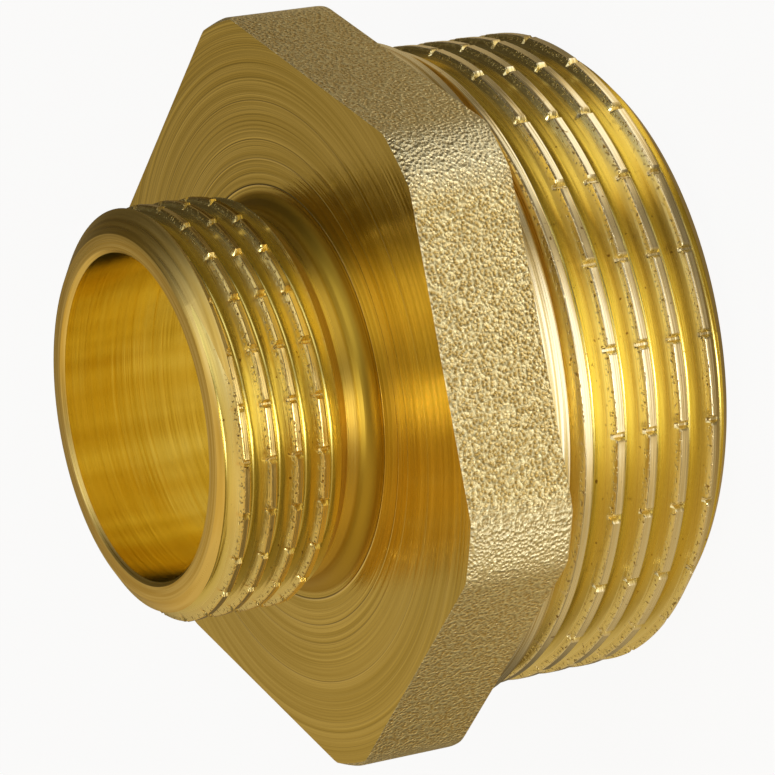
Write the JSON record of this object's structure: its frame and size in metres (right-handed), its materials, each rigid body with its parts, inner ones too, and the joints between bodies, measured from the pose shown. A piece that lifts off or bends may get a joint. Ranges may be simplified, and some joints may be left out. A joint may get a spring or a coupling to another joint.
{
  "type": "reducing nipple",
  "caption": "Brass reducing nipple with a large and a small outside pipe thread, a hexagon between them and a stepped bore right through.",
  "frame": {"origin": "on the bore axis, in the plane of the large end face, on which the part stands", "axes": "+Z along the bore axis, from the large end to the small end; +X through a corner of the hexagon, so that flats face -Y and +Y"},
  "size_m": [0.0488, 0.0436, 0.032],
  "materials": {
    "brass": "turned threads, bore and faces, with grit-blasted hexagon flats"
  },
  "bodies": {
    "root": {"nipple_body": "brass"}
  },
  "joints": []
}
